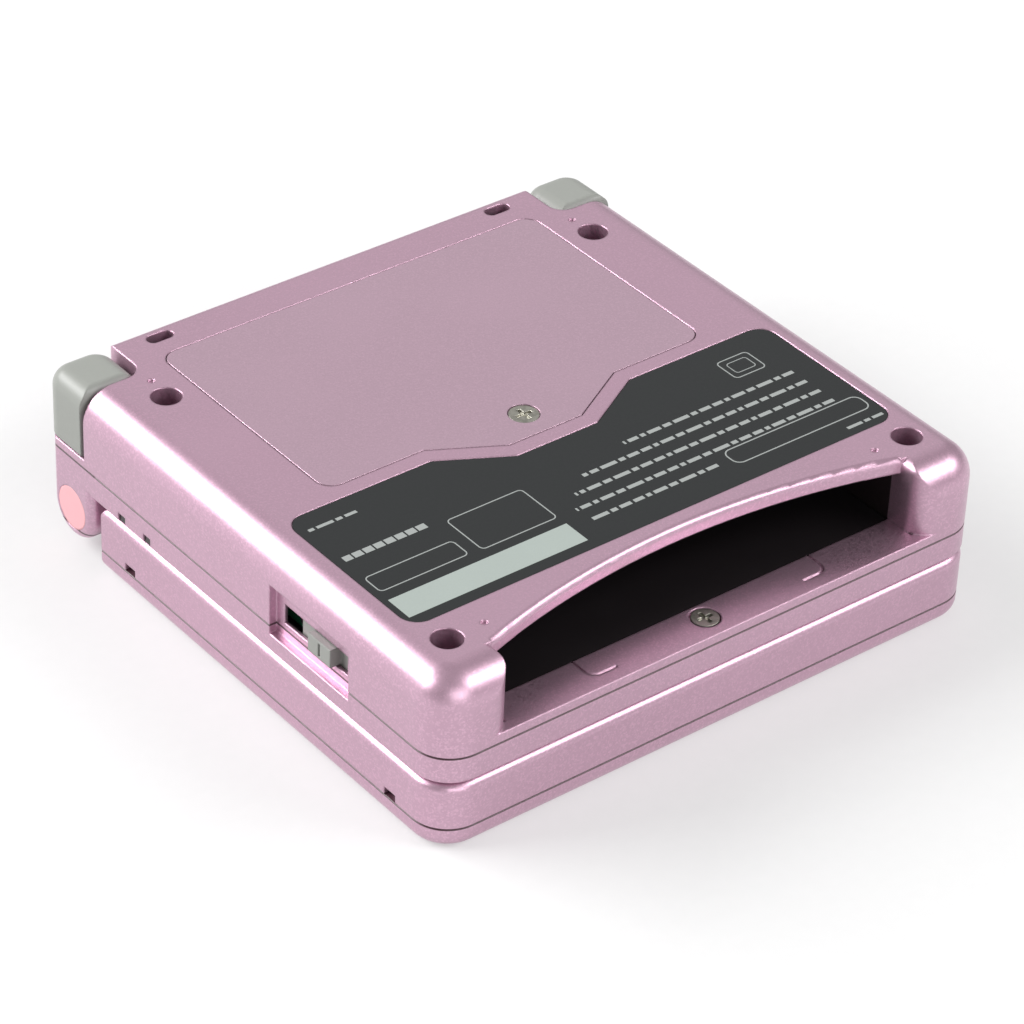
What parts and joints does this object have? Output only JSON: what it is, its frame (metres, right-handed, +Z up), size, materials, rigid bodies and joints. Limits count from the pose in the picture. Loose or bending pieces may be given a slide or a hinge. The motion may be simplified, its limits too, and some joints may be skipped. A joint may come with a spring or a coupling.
{
  "type": "clamshell handheld game console",
  "caption": "Clamshell handheld game console, closed and lying on its lid: hinged halves, cartridge slot, battery door, shoulder buttons and sliding switches.",
  "frame": {"origin": "on the table, under the middle of the closed console that lies on its lid", "axes": "+Z up out of the base's back, +Y from the cartridge edge towards the hinge, +X along the hinge"},
  "size_m": [0.084, 0.082, 0.0244],
  "materials": {
    "shell_paint": "satin metallic paint with fine flake",
    "cover_paint": "satin metallic paint, slightly greyer",
    "cap_plastic": "matt pale pink",
    "grey_plastic": "satin mid grey",
    "button_plastic": "smooth pale grey",
    "label_film": "satin charcoal film",
    "screw_steel": "worn zinc",
    "pin_steel": "ground",
    "port_metal": "pressed sheet",
    "contact_gold": "gold flash",
    "black_plastic": "matt black",
    "cloth": "fine black mesh",
    "board_green": "green laminate",
    "mat_rubber": "soft grey silicone",
    "plug_rubber": "matt dark rubber",
    "lens_glass": "clear window with a dark printed border",
    "lcd_glass": "unlit display",
    "guide_clear": "clear light guide",
    "tray_plastic": "white tray",
    "cable_film": "amber film",
    "battery_wrap": "pale wrap",
    "led_clear": "dark translucent window"
  },
  "bodies": {
    "lid": {"lid_cover": "shell_paint", "lid_bezel": "shell_paint", "screen_lens": "lens_glass", "light_guide": "guide_clear", "lcd_panel": "lcd_glass", "lcd_tray": "tray_plastic", "lid_screws": "screw_steel", "lid_screw_plugs": "plug_rubber", "hinge_click_unit": "black_plastic", "ribbon_cable": "cable_film"},
    "base": {"hinge_sleeve": "pin_steel", "hinge_shaft": "pin_steel", "hinge_cap_left": "cap_plastic", "hinge_cap_right": "cap_plastic", "face_shell": "shell_paint", "back_shell": "shell_paint", "info_label": "label_film", "main_board": "board_green", "board_chips": "black_plastic", "cartridge_connector": "black_plastic", "connector_pins": "contact_gold", "slot_shield": "black_plastic", "case_screws": "screw_steel", "sill_screw": "screw_steel", "battery_contacts": "contact_gold", "power_switch": "black_plastic", "volume_pot": "black_plastic", "led_windows": "led_clear", "link_port": "port_metal", "power_port": "port_metal", "port_pins": "contact_gold", "speaker": "black_plastic", "speaker_cloth": "cloth", "pad_rubber": "mat_rubber", "action_rubber": "mat_rubber", "small_rubber": "mat_rubber", "light_rubber": "mat_rubber", "shoulder_pin_left": "pin_steel", "shoulder_pin_right": "pin_steel", "shoulder_spring_left": "pin_steel", "shoulder_spring_right": "pin_steel", "shoulder_switch_left": "black_plastic", "shoulder_switch_right": "black_plastic"},
    "pad_rocker": {"pad_pivot": "button_plastic"},
    "direction_pad": {"direction_pad": "button_plastic"},
    "button_a": {"button_a": "button_plastic"},
    "button_b": {"button_b": "button_plastic"},
    "start_button": {"start_button": "button_plastic"},
    "select_button": {"select_button": "button_plastic"},
    "light_button": {"light_button": "button_plastic"},
    "shoulder_left": {"shoulder_left": "grey_plastic"},
    "shoulder_right": {"shoulder_right": "grey_plastic"},
    "power_knob": {"power_knob": "grey_plastic"},
    "volume_knob": {"volume_knob": "grey_plastic"},
    "battery_pack": {"battery_pack": "battery_wrap"},
    "battery_cover": {"battery_cover": "cover_paint", "cover_screw": "screw_steel"}
  },
  "joints": [
    {"name": "lid_hinge", "type": "hinge", "parent": "lid", "child": "base", "pos_m": [0, 0.0352, 0.0057], "axis": [-1, 0, 0], "range_deg": [0, 165]},
    {"name": "pad_rock_updown", "type": "hinge", "parent": "base", "child": "pad_rocker", "pos_m": [0.0255, 0.005, 0.01205], "axis": [1, 0, 0], "range_deg": [-3, 3], "stiffness_Nm_per_rad": 0.05},
    {"name": "pad_rock_leftright", "type": "hinge", "parent": "pad_rocker", "child": "direction_pad", "pos_m": [0.0255, 0.005, 0.01205], "axis": [0, 1, 0], "range_deg": [-3, 3], "stiffness_Nm_per_rad": 0.05},
    {"name": "button_a_press", "type": "slide", "parent": "base", "child": "button_a", "axis": [0, 0, 1], "range_m": [0, 0.0008], "stiffness_N_per_m": 300, "springref_m": -0.0006},
    {"name": "button_b_press", "type": "slide", "parent": "base", "child": "button_b", "axis": [0, 0, 1], "range_m": [0, 0.0008], "stiffness_N_per_m": 300, "springref_m": -0.0006},
    {"name": "start_button_press", "type": "slide", "parent": "base", "child": "start_button", "axis": [0, 0, 1], "range_m": [0, 0.0008], "stiffness_N_per_m": 300, "springref_m": -0.0006},
    {"name": "select_button_press", "type": "slide", "parent": "base", "child": "select_button", "axis": [0, 0, 1], "range_m": [0, 0.0008], "stiffness_N_per_m": 300, "springref_m": -0.0006},
    {"name": "light_button_press", "type": "slide", "parent": "base", "child": "light_button", "axis": [0, 0, 1], "range_m": [0, 0.0008], "stiffness_N_per_m": 300, "springref_m": -0.0006},
    {"name": "shoulder_left_press", "type": "hinge", "parent": "base", "child": "shoulder_left", "pos_m": [0.0357, 0.0355, 0.018], "axis": [0, 0, -1], "range_deg": [0, 5], "stiffness_Nm_per_rad": 0.03, "springref_deg": -8.59},
    {"name": "shoulder_right_press", "type": "hinge", "parent": "base", "child": "shoulder_right", "pos_m": [-0.0357, 0.0355, 0.018], "axis": [0, 0, 1], "range_deg": [0, 5], "stiffness_Nm_per_rad": 0.03, "springref_deg": -8.59},
    {"name": "power_slide", "type": "slide", "parent": "base", "child": "power_knob", "axis": [0, 1, 0], "range_m": [0, 0.003]},
    {"name": "volume_slide", "type": "slide", "parent": "base", "child": "volume_knob", "axis": [0, 1, 0], "range_m": [0, 0.006]},
    {"name": "cover_lift", "type": "slide", "parent": "base", "child": "battery_cover", "axis": [0, 0, 1], "range_m": [0, 0.03]},
    {"name": "battery_lift", "type": "slide", "parent": "base", "child": "battery_pack", "axis": [0, 0, 1], "range_m": [0, 0.015]}
  ],
  "couplings": [
    {"joint": "battery_lift", "follows": "cover_lift", "ratio": 0.5}
  ]
}
